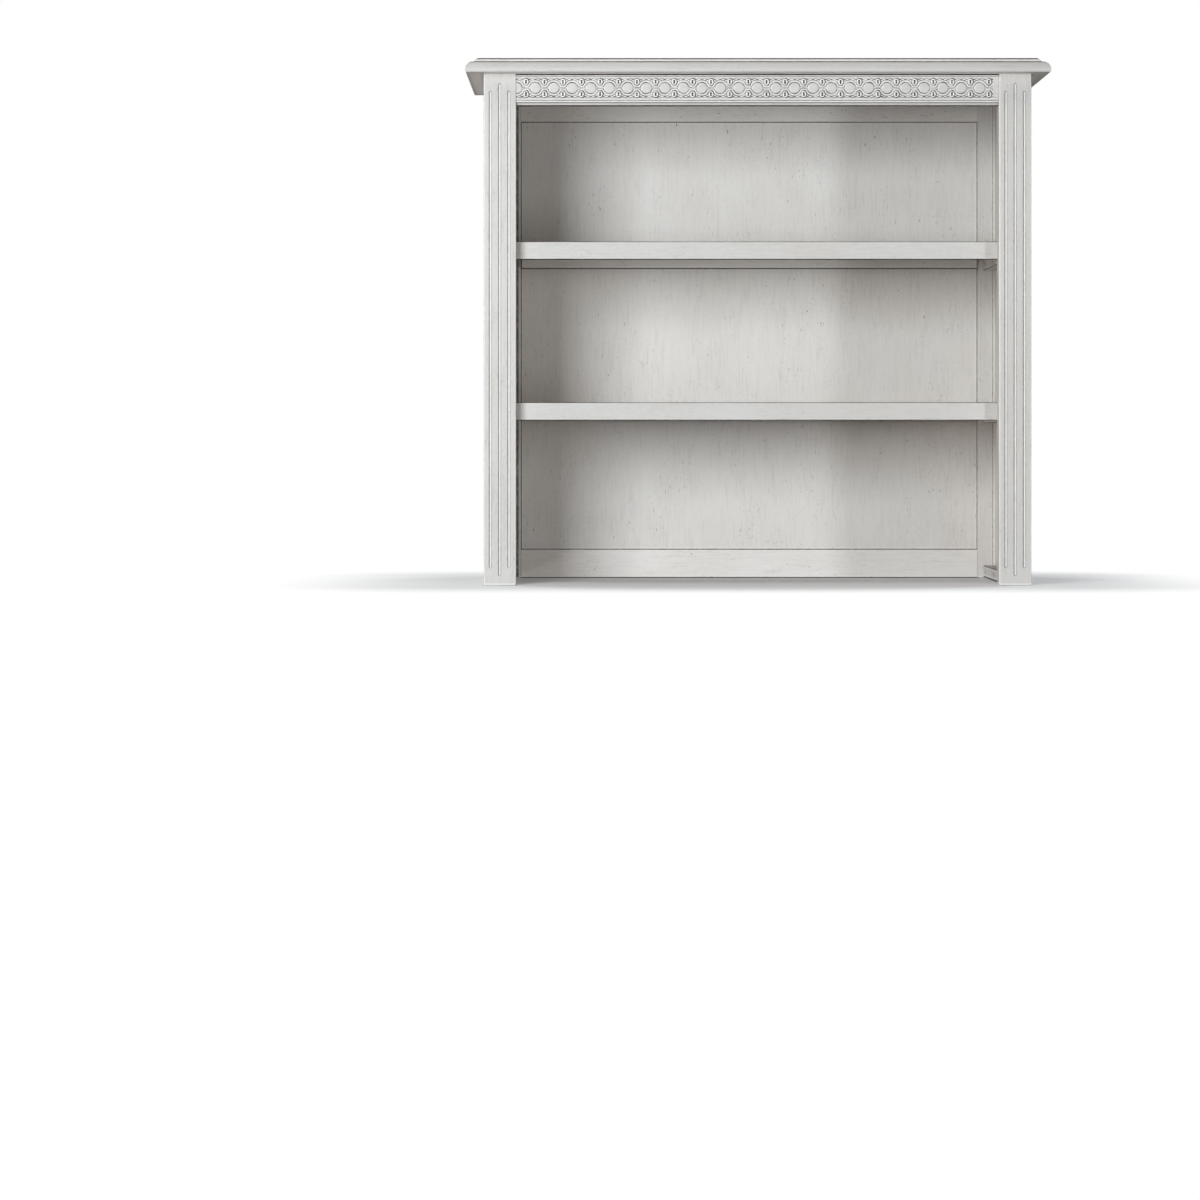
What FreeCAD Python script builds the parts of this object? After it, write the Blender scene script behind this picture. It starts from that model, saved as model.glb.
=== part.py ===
"""Hutch bookcase: an open upper case with fluted posts, a carved frieze and two fixed shelves.

X runs to the right, the front faces -Y and Z is up, in millimetres.
The origin is at the bottom centre of the whole piece, on the surface that it stands on.
"""
import FreeCAD, Part
import math
import os
from FreeCAD import Vector

# Case
case_width = 847.0
case_depth = 365.5
case_height = 790.0

# Crown board with its moulded edge
crown_thick = 24.0
crown_overhang = 27.5
crown_low_round = 12.5
crown_top_round = 6.2
crown_ledge = 0.5
crown_foot_round = 3.0

# Fluted front posts
post_width = 50.0
post_thick = 28.0
post_edge_round = 1.5
flute_width = 4.0
flute_pitch = 14.3
side_flute_end = 26.5
middle_flute_end = 14.5

# Side panels, tongued into the posts
side_thick = 18.0
side_set_back = 4.0
side_tongue_thick = 6.0
side_tongue_depth = 8.0

# Frieze rail and the carved moulding glued on its face
frieze_height = 48.0
frieze_set_back = 2.0
frieze_tenon_thick = 8.0
frieze_tenon_shoulder = 8.0
frieze_tenon_length = 14.0
frieze_fillet = 4.7
moulding_thick = 6.0
moulding_ground = 3.0
moulding_top_gap = 0.8
moulding_border = 2.8
moulding_step = 1.0
carving_margin = 6.0
carving_relief = 2.2
medallion_pitch = 28.64
medallion_radius = 8.0
medallion_groove = 1.3
link_width = 2.6
bridge_height = 5.0
eyelet_width = 7.2
eyelet_height = 9.4
eyelet_slot_width = 1.4
eyelet_slot_height = 5.2

# Framed back
back_thick = 20.0
back_stile_width = 28.0
back_top_rail_height = 45.4
back_bottom_rail_height = 45.0
back_panel_thick = 5.0
back_groove_depth = 8.0

# Shelves: a thin board with a deep lip in front and a batten behind
upper_shelf_top = 532.5
lower_shelf_top = 282.5
shelf_board_thick = 12.0
shelf_lip_height = 27.5
shelf_lip_thick = 20.0
shelf_lip_set_back = 2.0
shelf_tongue_thick = 5.0
shelf_tongue_depth = 6.0
shelf_batten_thick = 14.0
shelf_batten_end_gap = 2.0
shelf_end_gap = 0.5

# Cleats that carry the shelves, the crown and the case's foot
cleat_width = 18.0
cleat_height = 19.0
cleat_lip_gap = 1.0
board_edge_round = 1.0

# Wood screws, holding-down holes and dowels
screw_shank = 4.0
screw_head = 8.0
side_screw_length = 30.0
rising_screw_length = 28.0
screw_end_inset = 31.0
holding_hole = 4.5
dowel_diameter = 8.0
back_dowel_length = 28.0
back_dowel_in_side = 12.0
back_dowel_height_shares = (0.1, 0.37, 0.63, 0.9)
post_dowel_length = 38.0
post_dowel_in_crown = 14.0

# Small round things that repeat are kept to a few flat sides
# A flute has this many bands of flat sides from its edge down to its flat bottom
fastener_sides = 6
medallion_sides = 12
flute_end_sides = 6
flute_bands = 3

# Clearances and the overrun of every cut
joint_gap = 0.1
panel_gap = 0.5
dowel_end_gap = 0.5
overrun = 1.0

# Corner places of half an eyelet, from its outer end to its tip, as shares of half its width and height
eyelet_outline_shares = ((0.55, 1.0), (1.0, 0.15), (0.4, -1.0))

# Planes of the case
total_depth = case_depth + crown_overhang
crown_face = -total_depth / 2
post_face = crown_face + crown_overhang
post_back = post_face + post_thick
case_back = total_depth / 2
back_front = case_back - back_thick
post_outer = case_width / 2
post_inner = post_outer - post_width
side_outer = post_outer - side_set_back
side_inner = side_outer - side_thick
stile_inner = side_inner - back_stile_width
cleat_inner = side_inner - cleat_width
panel_middle = case_back - back_thick / 2
panel_front = panel_middle - back_panel_thick / 2
moulding_front = post_face + frieze_set_back
frieze_face = moulding_front + moulding_thick
shelf_lip_front = post_back + shelf_lip_set_back
shelf_lip_back = shelf_lip_front + shelf_lip_thick
groove_half = back_panel_thick / 2 + joint_gap
screw_head_depth = (screw_head - screw_shank) / 2
DIAGONAL = math.sqrt(0.5)
UP = Vector(0, 0, 1)
RIGHT = Vector(1, 0, 0)
LEFT = Vector(-1, 0, 0)
TOUCHING = 1e-6


def board(left, right, front, back, bottom, top):
    """A board between six planes."""
    size = Vector(right - left, back - front, top - bottom)
    return Part.makeBox(size.x, size.y, size.z, Vector(left, front, bottom))


def mirrored(shape):
    """The same piece on the other side of the case."""
    return shape.mirror(Vector(0, 0, 0), RIGHT)


def eased(shape, radius, wanted):
    """Round the straight edges that wanted(edge) picks."""
    edges = [edge for edge in shape.Edges if wanted(edge)]
    return shape.makeFillet(radius, edges)


def runs_along(edge, axis):
    """Whether an edge is straight and parallel to an axis."""
    if not isinstance(edge.Curve, Part.Line):
        return False
    return edge.Curve.Direction.cross(axis).Length < TOUCHING


def quarter_arc(centre, start, end):
    """A quarter circle about a centre, from start to end."""
    bulge = (start - centre) + (end - centre)
    return Part.Arc(start, centre + bulge * DIAGONAL, end).toShape()


def line(start, end):
    return Part.LineSegment(start, end).toShape()


def stacked(outlines):
    """A solid with flat sides between closed outlines whose corners lie one beside the other."""
    faces = [polygon_face(outlines[0]), polygon_face(outlines[-1])]
    for lower, upper in zip(outlines, outlines[1:]):
        for number, corner in enumerate(lower):
            before = number - 1
            faces.append(polygon_face([lower[before], corner, upper[number], upper[before]]))
    solid = Part.Solid(Part.Shell(faces))
    if solid.Volume < 0:
        solid.reverse()
    return solid


def polygon_face(corners):
    return Part.Face(Part.makePolygon(corners + corners[:1]))


def round_outline(centre, direction, radius, sides):
    """Corners of a regular outline of flat sides around a centre, square to X or Z."""
    across = Vector(0, 1, 0)
    other = direction.cross(across)
    corners = []
    for number in range(sides):
        angle = math.tau * (number + 0.5) / sides
        corners.append(centre + across * radius * math.cos(angle) + other * radius * math.sin(angle))
    return corners


def turned(start, direction, rings):
    """A small turned solid through rings, each a place along the direction and a radius."""
    return stacked([round_outline(start + direction * place, direction, radius, fastener_sides)
                    for place, radius in rings])


# Crown


def crown_edge(outer, inward):
    """Moulded edge from the underside up: eased foot, large quarter round, ledge, small quarter round."""
    def at(inset, height):
        return outer + inward * inset + UP * height
    shoulder = crown_thick - crown_top_round
    spring = shoulder - crown_low_round
    ledge_inset = crown_low_round + crown_ledge
    top_inset = ledge_inset + crown_top_round
    foot = quarter_arc(at(crown_foot_round, crown_foot_round), at(crown_foot_round, 0), at(0, crown_foot_round))
    low = quarter_arc(at(crown_low_round, spring), at(0, spring), at(crown_low_round, shoulder))
    high = quarter_arc(at(top_inset, shoulder), at(ledge_inset, shoulder), at(top_inset, crown_thick))
    return [foot,
            line(at(0, crown_foot_round), at(0, spring)),
            low,
            line(at(crown_low_round, shoulder), at(ledge_inset, shoulder)),
            high]


def joined_face(edges):
    """A face inside edges that are joined to a loop with straight lines where they don't meet."""
    loop = []
    for edge, following in zip(edges, edges[1:] + edges[:1]):
        loop.append(edge)
        end = edge.lastVertex(True).Point
        start = following.firstVertex(True).Point
        if end.distanceToPoint(start) > TOUCHING:
            loop.append(line(end, start))
    return Part.Face(Part.Wire(Part.__sortEdges__(loop)))


def crown_board():
    """The moulded front and the two moulded ends meet in mitres at the front corners."""
    half_width = post_outer + crown_overhang
    front_edge = crown_edge(Vector(-half_width, crown_face, case_height), Vector(0, 1, 0))
    back_line = line(Vector(-half_width, case_back, case_height + crown_thick),
                     Vector(-half_width, case_back, case_height))
    front_shape = joined_face(front_edge + [back_line]).extrude(Vector(2 * half_width, 0, 0))
    left_edge = crown_edge(Vector(-half_width, crown_face, case_height), Vector(1, 0, 0))
    left_slab = joined_face(left_edge + [line(Vector(0, crown_face, case_height + crown_thick),
                                              Vector(0, crown_face, case_height))])
    left_shape = left_slab.extrude(Vector(0, total_depth, 0))
    side_shape = left_shape.fuse(mirrored(left_shape)).removeSplitter()
    crown = front_shape.common(side_shape).removeSplitter()
    for x in (-post_middle(), post_middle()):
        crown = crown.cut(post_dowel_space(x))
    for screw_at in rising_screw_places(case_height - cleat_height):
        crown = crown.cut(screw_space(screw_at, UP, rising_screw_length))
    return crown


# Fasteners


def post_middle():
    return post_outer - post_width / 2


def dowel(end, direction, length):
    return turned(end, direction, ((0, dowel_diameter / 2), (length, dowel_diameter / 2)))


def dowel_space(end, direction, length):
    """The hole around a dowel, longer than it at both ends."""
    radius = dowel_diameter / 2 + joint_gap
    return turned(end, direction, ((-dowel_end_gap, radius), (length + dowel_end_gap, radius)))


def post_dowel(x):
    """A plain dowel that ties the top of a post to the crown."""
    foot = Vector(x, post_face + post_thick / 2, case_height + post_dowel_in_crown - post_dowel_length)
    return dowel(foot, UP, post_dowel_length)


def post_dowel_space(x):
    """The blind hole around a post dowel."""
    foot = Vector(x, post_face + post_thick / 2, case_height + post_dowel_in_crown - post_dowel_length)
    return dowel_space(foot, UP, post_dowel_length)


def back_dowel_ends():
    """The left ends of the dowels between the left side panel and the left back stile."""
    return [Vector(-side_inner - back_dowel_in_side, panel_middle, case_height * share)
            for share in back_dowel_height_shares]


def back_dowel_spaces():
    """The blind holes around the left back dowels."""
    return [dowel_space(end, RIGHT, back_dowel_length) for end in back_dowel_ends()]


def screw(head_at, direction, length):
    """A countersunk wood screw whose head is flush at head_at."""
    return turned(head_at, direction,
                  ((0, screw_head / 2), (screw_head_depth, screw_shank / 2), (length, screw_shank / 2)))


def screw_space(head_at, direction, length):
    """The countersunk hole around a screw, open towards its head."""
    wide = screw_head / 2 + joint_gap
    narrow = screw_shank / 2 + joint_gap
    return turned(head_at, direction,
                  ((-overrun, wide), (0, wide), (screw_head_depth, narrow), (length + joint_gap, narrow)))


def cleat_front(level):
    """Cleats at the foot and top reach the posts, and those under shelves stop behind the lip."""
    if level in (0.0, case_height - cleat_height):
        return post_back
    return shelf_lip_back + cleat_lip_gap


def cleat_levels():
    """Undersides of the cleats: foot, lower shelf, upper shelf, crown."""
    shelf_levels = [top - shelf_board_thick - cleat_height for top in (lower_shelf_top, upper_shelf_top)]
    return [0.0] + shelf_levels + [case_height - cleat_height]


def side_screw_depths(level):
    """Three screws along a cleat: one near each end and one in the middle."""
    front = cleat_front(level) + screw_end_inset
    back = back_front - screw_end_inset
    return [front, (front + back) / 2, back]


def between_screws(level):
    """The two places halfway between a cleat's side screws."""
    depths = side_screw_depths(level)
    return [(first + second) / 2 for first, second in zip(depths, depths[1:])]


def side_screw_places(level):
    """Heads of the left cleat's side screws, which point at the side panel."""
    return [Vector(-cleat_inner, depth, level + cleat_height / 2) for depth in side_screw_depths(level)]


def rising_screw_places(level):
    """Heads of the upright screws of both cleats on one level."""
    middle = cleat_inner + cleat_width / 2
    return [Vector(side * middle, depth, level) for side in (-1, 1) for depth in between_screws(level)]


# Posts and side panels


def flute_outline(x, end, depth, radius):
    """Corners of a long outline with half-round ends of flat sides, at a depth behind the face of the post."""
    reach = flute_width / 2 + end
    corners = []
    for middle, turn in ((case_height - reach, 0), (reach, math.pi)):
        for number in range(flute_end_sides + 1):
            angle = turn + math.pi * number / flute_end_sides
            corners.append(Vector(x + radius * math.cos(angle), post_face + depth,
                                  middle + radius * math.sin(angle)))
    return corners


def flute(x, end):
    """A half-round groove with ball ends, as flat sides between outlines that shrink with their depth."""
    radius = flute_width / 2
    outlines = [flute_outline(x, end, -overrun, radius)]
    for number in range(flute_bands + 1):
        angle = math.pi / 2 * number / (flute_bands + 0.5)
        outlines.append(flute_outline(x, end, radius * math.sin(angle), radius * math.cos(angle)))
    return stacked(outlines)


def tenon(side_x, gap):
    """The left tenon of the frieze rail, larger by the gap as a mortise."""
    middle = (frieze_face + post_back) / 2
    half = frieze_tenon_thick / 2 + gap
    bottom = case_height - frieze_height + frieze_tenon_shoulder - gap
    top = case_height - frieze_tenon_shoulder + gap
    return board(side_x - frieze_tenon_length - gap, side_x + overrun, middle - half, middle + half, bottom, top)


def side_tongue(gap):
    """The left side panel's front tongue, larger by the gap as a groove in the post."""
    middle = -(side_inner + side_outer) / 2
    half = side_tongue_thick / 2 + gap
    return board(middle - half, middle + half, post_back - side_tongue_depth - gap, post_back + overrun,
                 0, case_height)


def left_post():
    """A fluted post, its front edges eased, with its mortise, groove and dowel hole."""
    post = board(-post_outer, -post_inner, post_face, post_back, 0, case_height)
    post = eased(post, post_edge_round,
                 lambda edge: runs_along(edge, UP) and edge.BoundBox.YMax < post_face + joint_gap)
    flutes = [flute(-post_middle() - flute_pitch, side_flute_end),
              flute(-post_middle(), middle_flute_end),
              flute(-post_middle() + flute_pitch, side_flute_end)]
    spaces = [tenon(-post_inner, joint_gap), side_tongue(joint_gap), post_dowel_space(-post_middle())]
    return post.cut(flutes + spaces)


def left_side_panel():
    """A solid panel from the post to the back, with holes for the cleats' screws and the dowels."""
    panel = board(-side_outer, -side_inner, post_back, case_back, 0, case_height)
    panel = eased(panel, board_edge_round,
                  lambda edge: runs_along(edge, UP) and edge.BoundBox.YMin > case_back - joint_gap
                  and edge.BoundBox.XMax < -side_outer + joint_gap)
    panel = panel.fuse(side_tongue(0)).removeSplitter()
    holes = back_dowel_spaces()
    for level in cleat_levels():
        for head_at in side_screw_places(level):
            holes.append(screw_space(head_at, LEFT, side_screw_length))
    return panel.cut(holes)


# Frieze


def frieze_rail():
    """The rail between the posts, with a tenon at each end."""
    rail = board(-post_inner, post_inner, frieze_face, post_back, case_height - frieze_height, case_height)
    left_tenon = tenon(-post_inner, 0)
    return rail.fuse([left_tenon, mirrored(left_tenon)]).removeSplitter()


def raised(face_outline, height, ground):
    """A flat figure raised from the ground of the moulding."""
    return face_outline.extrude(Vector(0, -height - overrun, 0)).translated(Vector(0, ground + overrun, 0))


def disc_points(radius):
    """Corners of a many-sided disc with flat sides left and right, where the bridges meet it."""
    angles = [math.tau * (number + 0.5) / medallion_sides for number in range(medallion_sides)]
    return [(radius * math.cos(angle), radius * math.sin(angle)) for angle in angles]


def figure(x, z, points):
    """A flat figure of the frieze around a middle, from its corners."""
    return polygon_face([Vector(x + across, 0, z + rise) for across, rise in points])


def rectangle_points(width, height):
    across = width / 2
    rise = height / 2
    return [(-across, -rise), (across, -rise), (across, rise), (-across, rise)]


def eyelet_points(outward):
    """The six corners of an eyelet whose blunt end points outward, up for 1 and down for -1."""
    half = [(eyelet_width / 2 * across, outward * eyelet_height / 2 * rise)
            for across, rise in eyelet_outline_shares]
    return half + [(-across, rise) for across, rise in reversed(half)]


def frieze_moulding():
    """Linked medallions between a flat border above and a bead below, with pairs of eyelets between."""
    bottom = case_height - frieze_height + frieze_fillet
    top = case_height - moulding_top_gap
    ground = frieze_face - moulding_ground
    middle = (bottom + top) / 2
    field = top - bottom - 2 * (moulding_border + moulding_step)
    strip = board(-post_inner, post_inner, ground, frieze_face, bottom, top)
    border = board(-post_inner, post_inner, moulding_front, frieze_face, top - moulding_border, top)
    bead = Part.makeCylinder(moulding_border / 2, 2 * post_inner,
                             Vector(-post_inner, ground - carving_relief / 2, bottom + moulding_border / 2),
                             RIGHT)
    bead_foot = board(-post_inner, post_inner, ground - carving_relief / 2, frieze_face,
                      bottom, bottom + moulding_border)
    eyelet_rise = field / 2 - carving_margin / 2 - eyelet_height / 2
    figures = []
    link_radius = medallion_radius + medallion_groove + link_width
    count = int(2 * post_inner / medallion_pitch) - 1
    first = -(count - 1) / 2 * medallion_pitch
    links = []
    holes = []
    for number in range(-1, count):
        x = first + number * medallion_pitch
        halfway = x + medallion_pitch / 2
        links.append(figure(x, middle, disc_points(link_radius)))
        links.append(figure(halfway, middle, rectangle_points(medallion_pitch - 2 * medallion_radius,
                                                              bridge_height)))
        holes.append(figure(x, middle, disc_points(medallion_radius + medallion_groove)))
        figures.append(raised(figure(x, middle, disc_points(medallion_radius)), carving_relief, ground))
        for outward in (-1, 1):
            eyelet = figure(halfway, middle + outward * eyelet_rise, eyelet_points(outward))
            slot = figure(halfway, middle + outward * eyelet_rise,
                          rectangle_points(eyelet_slot_width, eyelet_slot_height))
            figures.append(raised(eyelet.cut(slot).Faces[0], carving_relief, ground))
    chain = links[0].fuse(links[1:]).cut(holes).removeSplitter()
    figures.extend(raised(face, carving_relief, ground) for face in chain.Faces)
    whole = strip.fuse([border, bead, bead_foot] + figures)
    limits = board(-post_inner, post_inner, post_face, frieze_face, bottom, top)
    return whole.common(limits).removeSplitter()


# Framed back


def groove(left, right, bottom, top):
    """A groove for the back panel, cut from a stile or a rail."""
    return board(left, right, panel_middle - groove_half, panel_middle + groove_half, bottom, top)


def left_back_stile():
    stile = board(-side_inner, -stile_inner, back_front, case_back, 0, case_height)
    cuts = [groove(-stile_inner - back_groove_depth, -stile_inner + overrun, -overrun, case_height + overrun)]
    return stile.cut(cuts + back_dowel_spaces())


def back_rail(bottom, top, groove_bottom, groove_top):
    """A rail between the stiles with stub tenons in their grooves."""
    rail = board(-stile_inner, stile_inner, back_front, case_back, bottom, top)
    reach = stile_inner + back_groove_depth - joint_gap
    stub = board(-reach, reach, panel_middle - back_panel_thick / 2, panel_middle + back_panel_thick / 2,
                 bottom, top)
    whole = rail.fuse(stub).removeSplitter()
    return whole.cut(groove(-reach - overrun, reach + overrun, groove_bottom, groove_top))


def back_bottom_rail():
    top = back_bottom_rail_height
    return back_rail(0, top, top - back_groove_depth, top + overrun)


def back_top_rail():
    bottom = case_height - back_top_rail_height
    return back_rail(bottom, case_height, bottom - overrun, bottom + back_groove_depth)


def back_panel():
    """A thin panel held in the grooves of the frame."""
    reach = stile_inner + back_groove_depth - panel_gap
    bottom = back_bottom_rail_height - back_groove_depth + panel_gap
    top = case_height - back_top_rail_height + back_groove_depth - panel_gap
    return board(-reach, reach, panel_front, panel_front + back_panel_thick, bottom, top)


# Shelves


def shelf_board(top):
    """A board tongued into the lip and notched around the back stiles, with pilot holes below."""
    half_width = side_inner - shelf_end_gap
    bottom = top - shelf_board_thick
    back = panel_front - panel_gap
    shelf = board(-half_width, half_width, shelf_lip_back, back, bottom, top)
    middle = (bottom + top) / 2
    tongue = board(-half_width, half_width, shelf_lip_back - shelf_tongue_depth, shelf_lip_back + overrun,
                   middle - shelf_tongue_thick / 2, middle + shelf_tongue_thick / 2)
    shelf = shelf.fuse(tongue).removeSplitter()
    left_notch = board(-half_width - overrun, -stile_inner + panel_gap, back_front - panel_gap, back + overrun,
                       bottom - overrun, top + overrun)
    cuts = [left_notch, mirrored(left_notch)]
    cuts.extend(screw_space(head_at, UP, rising_screw_length)
                for head_at in rising_screw_places(bottom - cleat_height))
    return shelf.cut(cuts)


def shelf_lip(top):
    """The deep front edge of a shelf, grooved behind for the board's tongue."""
    half_width = side_inner - shelf_end_gap
    bottom = top - shelf_lip_height
    lip = board(-half_width, half_width, shelf_lip_front, shelf_lip_back, bottom, top)
    lip = eased(lip, board_edge_round,
                lambda edge: runs_along(edge, RIGHT) and edge.BoundBox.YMax < shelf_lip_front + joint_gap)
    middle = top - shelf_board_thick / 2
    half_groove = shelf_tongue_thick / 2 + joint_gap
    slot = board(-half_width - overrun, half_width + overrun, shelf_lip_back - shelf_tongue_depth - joint_gap,
                 shelf_lip_back + overrun, middle - half_groove, middle + half_groove)
    return lip.cut(slot)


def shelf_batten(top):
    """The batten under the back edge of a shelf, between the back stiles."""
    half_width = stile_inner - shelf_batten_end_gap
    back = panel_front - panel_gap
    return board(-half_width, half_width, back - shelf_batten_thick, back,
                 top - shelf_lip_height, top - shelf_board_thick)


# Cleats


def left_cleat(level):
    """A cleat on the left side panel, with side holes and two upright holes."""
    cleat = board(-side_inner, -cleat_inner, cleat_front(level), back_front, level, level + cleat_height)
    cuts = [screw_space(head_at, LEFT, side_screw_length) for head_at in side_screw_places(level)]
    for head_at in rising_screw_places(level):
        if level == 0.0:
            foot = head_at - UP * overrun
            cuts.append(Part.makeCylinder(holding_hole / 2, cleat_height + 2 * overrun, foot, UP))
        else:
            cuts.append(screw_space(head_at, UP, rising_screw_length))
    return cleat.cut(cuts)


# Nodes


def pair(name, left_piece):
    """The left piece and its mirror image, as two nodes."""
    return {name + "_left": left_piece, name + "_right": mirrored(left_piece)}


def shelf_nodes(name, top):
    return {name + "_board": shelf_board(top),
            name + "_front_lip": shelf_lip(top),
            name + "_back_batten": shelf_batten(top)}


def side_screws():
    """Every level screw that holds a cleat to its side panel."""
    screws = []
    for level in cleat_levels():
        for head_at in side_screw_places(level):
            left_screw = screw(head_at, LEFT, side_screw_length)
            screws.extend([left_screw, mirrored(left_screw)])
    return Part.makeCompound(screws)


def rising_screws():
    """Every upright screw: through the shelf cleats into the shelves, and through the top ones."""
    screws = []
    for level in cleat_levels()[1:]:
        for head_at in rising_screw_places(level):
            screws.append(screw(head_at, UP, rising_screw_length))
    return Part.makeCompound(screws)


def back_dowel_set():
    left = [dowel(end, RIGHT, back_dowel_length) for end in back_dowel_ends()]
    return Part.makeCompound(left + [mirrored(piece) for piece in left])


def all_nodes():
    nodes = {"crown_board": crown_board()}
    nodes.update(pair("post", left_post()))
    nodes.update(pair("side_panel", left_side_panel()))
    nodes["frieze_rail"] = frieze_rail()
    nodes["frieze_moulding"] = frieze_moulding()
    nodes.update(pair("back_stile", left_back_stile()))
    nodes["back_top_rail"] = back_top_rail()
    nodes["back_bottom_rail"] = back_bottom_rail()
    nodes["back_panel"] = back_panel()
    nodes.update(shelf_nodes("upper_shelf", upper_shelf_top))
    nodes.update(shelf_nodes("lower_shelf", lower_shelf_top))
    for name, level in zip(("foot", "lower_shelf", "upper_shelf", "crown"), cleat_levels()):
        nodes.update(pair(name + "_cleat", left_cleat(level)))
    nodes["cleat_side_screws"] = side_screws()
    nodes["cleat_rising_screws"] = rising_screws()
    nodes["back_frame_dowels"] = back_dowel_set()
    nodes["post_dowels"] = Part.makeCompound([post_dowel(-post_middle()), post_dowel(post_middle())])
    return nodes


os.makedirs("parts", exist_ok=True)
for node_name, node_shape in all_nodes().items():
    node_shape.exportStep("parts/" + node_name + ".step")
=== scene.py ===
"""Looks of an open hutch bookcase in whitewashed wood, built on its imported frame.

X runs to the right, the front faces -Y and Z is up, in metres.
"""
import math
from itertools import product
from types import SimpleNamespace

import bmesh
import bpy
import numpy as np
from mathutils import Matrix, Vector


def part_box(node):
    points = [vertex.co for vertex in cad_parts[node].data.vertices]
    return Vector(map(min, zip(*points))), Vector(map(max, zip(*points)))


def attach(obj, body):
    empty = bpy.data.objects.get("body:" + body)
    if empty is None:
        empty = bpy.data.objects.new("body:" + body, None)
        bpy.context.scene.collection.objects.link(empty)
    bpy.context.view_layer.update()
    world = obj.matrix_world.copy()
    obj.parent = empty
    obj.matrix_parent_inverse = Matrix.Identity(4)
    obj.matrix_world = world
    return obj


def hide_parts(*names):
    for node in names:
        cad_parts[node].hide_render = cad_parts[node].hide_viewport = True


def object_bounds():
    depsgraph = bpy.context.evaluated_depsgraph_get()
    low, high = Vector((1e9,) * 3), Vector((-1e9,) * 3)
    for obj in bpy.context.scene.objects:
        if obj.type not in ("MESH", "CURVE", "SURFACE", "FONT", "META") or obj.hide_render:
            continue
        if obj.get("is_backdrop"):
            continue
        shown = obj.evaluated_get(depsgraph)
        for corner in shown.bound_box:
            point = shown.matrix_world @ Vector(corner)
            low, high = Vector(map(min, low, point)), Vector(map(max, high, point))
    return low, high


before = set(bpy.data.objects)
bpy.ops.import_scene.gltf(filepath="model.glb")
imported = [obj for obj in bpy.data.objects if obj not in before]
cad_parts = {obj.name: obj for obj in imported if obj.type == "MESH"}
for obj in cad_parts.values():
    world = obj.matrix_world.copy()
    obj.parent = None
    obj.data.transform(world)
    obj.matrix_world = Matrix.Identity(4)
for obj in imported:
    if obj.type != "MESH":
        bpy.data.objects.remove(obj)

bl_info = {
    "name": "Hutch Bookcase",
    "version": (1, 0, 0),
    "blender": (4, 5, 0),
    "location": "3D View > Sidebar > Hutch Bookcase",
    "description": "Builds an open hutch bookcase with fluted posts and a carved frieze",
    "category": "Add Mesh",
}

MM = 0.001
HALF = 0.5
BODY = "root"
X, Y, Z = range(3)

# Turned shapes: flat sides of round forms, and the sharpest fold that is still shaded smooth
ARC_STEPS = 12
EASED_STEPS = 4
SMOOTH_FOLD = math.radians(35)

# Edges of boards: only long, sharp ones are softened, each by so many narrow strips
SHORTEST_SOFT_EDGE = 40 * MM
SHARP_FOLD = math.radians(40)
FLAT_FOLD = math.radians(0.5)
WELD = 0.002 * MM
SOFT_STRIPS = 3

# Noises in the paint: waves per metre across and along the grain, octaves, and what each octave keeps
PAINT_NOISES = {"cloud": (13, 6), "drift": (42, 16), "streak": (360, 26, 4.0, 0.6), "hair": (1300, 95, 2.0),
                "mottle": (230, 160), "speck": (620, 95, 2.0, 0.6)}

# Noise values where a mark starts and is full, and its least and most strength if they aren't 0 and 1
CLOUDS = (0.3, 0.7)
PATCHES = (0.30, 0.62, 0.45, 1.0)
STREAKS = (0.44, 0.74)
HAIRS = (0.5, 0.74)
MOTTLES = (0.42, 0.66)
SPECKS = (0.665, 0.725)
SPECK_PATCHES = (0.50, 0.58)
UNEVEN_SHADE = (0.30, 0.60, 0.70, 1.0)
UNEVEN_PALE = (0.25, 0.5, 0.6, 1.0)

# Weight of hairs and mottles, relief of streaks and hairs, bump strength and depth, and sheen
HAIR_SHARE = 0.8
MOTTLE_SHARE = 0.35
STREAK_HEIGHT = 0.6
HAIR_DEPTH = 0.4
PAINT_BUMP = (0.25, 0.2 * MM)
SHEEN_BELOW = 0.08
SHEEN_SWING = 0.2

# How a piece's grain is moved aside for its seed, and the tint of the paint's greyer clouds
SEED_STEPS = (0.37, 0.61, 0.83)
CLOUD_SHARES = (0.965, 0.955, 0.945)

# Finishes: seed of the first piece, brightness of the paint, darkness of the flecks, paint rubbed on the
# arrises, and glaze in a line along them
# For some kinds the brightness also holds painted light and shade: the frieze rail darker, the right side and
# the back rails brighter
FINISHES = {
    "crown": (1, 0.8, 0.4, 0.4, 0),
    "post": (2, 0.95, 0.5, 0.6, 0),
    "moulding": (7, 1, 0.2, 0.4, 0),
    # The frieze rail's darker paint is painted shade, as it lies under the moulding and the crown
    "frieze_rail": (8, 0.56, 0.6, 0.4, 0),
    "side_left": (10, 1, 1, 0.4, 0),
    # The right side panel's brighter paint is painted light on its lit inner face
    "side_right": (11, 1.07, 1, 0.4, 0),
    "stile": (13, 1, 1, 0.4, 0),
    # The back rails' brighter paint is painted light: where the frieze shades the top rail, and bounce from
    # below on the bottom one
    "rail": (16, 1.2, 1, 0.4, 0),
    "panel": (19, 1.1, 1.2, 0.4, 0),
    "board": (21, 1, 0.6, 0.4, 0),
    "front_lip": (21, 0.92, 0.6, 0.4, 1.7),
    "back_batten": (21, 1, 0.6, 0.4, 0),
    "cleat": (31, 1, 1, 0.4, 2.1),
}

# Rubbed paint and dark lines on arrises, and the pale line beside a joint: weight, and between which shares of
# the joint's reach it fades in and out
WORN_REACH = 2.4 * MM
LINE_REACH = 1.3 * MM
BESIDE_SHARE = 0.5
BESIDE_START = (0.5, 1.2)
BESIDE_END = (2.4, 1.5)

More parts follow.
